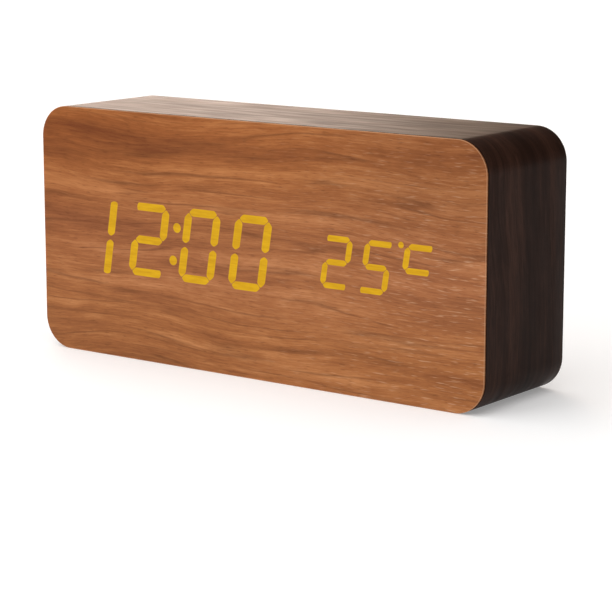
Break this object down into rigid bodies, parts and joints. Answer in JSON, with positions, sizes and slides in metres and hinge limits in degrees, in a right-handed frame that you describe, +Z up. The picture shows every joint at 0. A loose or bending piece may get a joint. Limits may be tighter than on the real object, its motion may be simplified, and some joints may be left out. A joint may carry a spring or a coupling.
{
  "type": "alarm clock",
  "caption": "Rectangular walnut-cased LED alarm clock with time and temperature glowing through the veneer, rear buttons, battery bay and power socket.",
  "frame": {"origin": "middle of the underside of the case, halfway from front to back", "axes": "+Z up, the display faces -Y, +X to the right as seen from the front"},
  "size_m": [0.15, 0.039, 0.07],
  "materials": {
    "front_walnut": "matt walnut veneer, horizontal grain",
    "dark_walnut": "satin dark walnut foil on fibreboard",
    "mdf": "bare fibreboard",
    "milky_plastic": "milky diffusing plastic",
    "white_plastic": "white moulded plastic",
    "black_plastic": "fine-textured black moulded plastic",
    "board_green": "green solder mask",
    "chip_black": "black chip moulding",
    "epoxy": "dipped epoxy",
    "steel": "plated steel",
    "nickel": "nickel plate",
    "cell_jacket": "printed film jacket",
    "grey_ribbon": "flat cable",
    "red_wire": "wire insulation",
    "black_wire": "wire insulation"
  },
  "bodies": {
    "case": {"front_veneer": "front_walnut", "case_sleeve": "dark_walnut", "front_board": "mdf", "light_guide": "milky_plastic", "reflector_block": "white_plastic", "display_board": "board_green", "display_driver_chip": "chip_black", "rear_cover": "black_plastic", "control_board": "board_green", "mcu_chip": "chip_black", "dc_jack": "black_plastic", "buzzer": "black_plastic", "microphone": "nickel", "thermistor": "epoxy", "coin_cell_holder": "black_plastic", "coin_cell": "steel", "ribbon_header_front": "white_plastic", "ribbon_header_rear": "white_plastic", "ribbon_cable": "grey_ribbon", "battery_wire_positive": "red_wire", "battery_wire_negative": "black_wire", "contact_positive": "nickel", "contact_negative": "nickel", "contact_bridge_left": "nickel", "contact_bridge_right": "nickel", "corner_block_1": "mdf", "display_screw_1": "steel", "cover_screw_1": "steel", "control_screw_1": "steel", "corner_block_2": "mdf", "display_screw_2": "steel", "cover_screw_2": "steel", "control_screw_2": "steel", "corner_block_3": "mdf", "display_screw_3": "steel", "cover_screw_3": "steel", "control_screw_3": "steel", "corner_block_4": "mdf", "display_screw_4": "steel", "cover_screw_4": "steel", "control_screw_4": "steel", "battery_cell_1": "cell_jacket", "contact_spring_1": "nickel", "battery_cell_2": "cell_jacket", "contact_spring_2": "nickel", "battery_cell_3": "cell_jacket", "contact_spring_3": "nickel", "switch_body_set": "chip_black", "switch_body_up": "chip_black", "switch_body_down": "chip_black"},
    "door": {"battery_door": "black_plastic"},
    "set_button": {"button_set": "black_plastic"},
    "set_plunger": {"switch_plunger_set": "white_plastic"},
    "up_button": {"button_up": "black_plastic"},
    "up_plunger": {"switch_plunger_up": "white_plastic"},
    "down_button": {"button_down": "black_plastic"},
    "down_plunger": {"switch_plunger_down": "white_plastic"}
  },
  "joints": [
    {"name": "battery_door_hinge", "type": "hinge", "parent": "case", "child": "door", "pos_m": [-0.0309, 0.0174, 0.0184], "axis": [-1, 0, 0], "range_deg": [0, 90]},
    {"name": "set_button_press", "type": "slide", "parent": "case", "child": "set_button", "axis": [0, -1, 0], "range_m": [0, 0.0006], "stiffness_N_per_m": 1500, "springref_m": -0.0004},
    {"name": "set_plunger_press", "type": "slide", "parent": "case", "child": "set_plunger", "axis": [0, -1, 0], "range_m": [0, 0.0004]},
    {"name": "up_button_press", "type": "slide", "parent": "case", "child": "up_button", "axis": [0, -1, 0], "range_m": [0, 0.0006], "stiffness_N_per_m": 1500, "springref_m": -0.0004},
    {"name": "up_plunger_press", "type": "slide", "parent": "case", "child": "up_plunger", "axis": [0, -1, 0], "range_m": [0, 0.0004]},
    {"name": "down_button_press", "type": "slide", "parent": "case", "child": "down_button", "axis": [0, -1, 0], "range_m": [0, 0.0006], "stiffness_N_per_m": 1500, "springref_m": -0.0004},
    {"name": "down_plunger_press", "type": "slide", "parent": "case", "child": "down_plunger", "axis": [0, -1, 0], "range_m": [0, 0.0004]}
  ],
  "couplings": [
    {"joint": "set_plunger_press", "follows": "set_button_press", "ratio": 0.45},
    {"joint": "up_plunger_press", "follows": "up_button_press", "ratio": 0.45},
    {"joint": "down_plunger_press", "follows": "down_button_press", "ratio": 0.45}
  ]
}
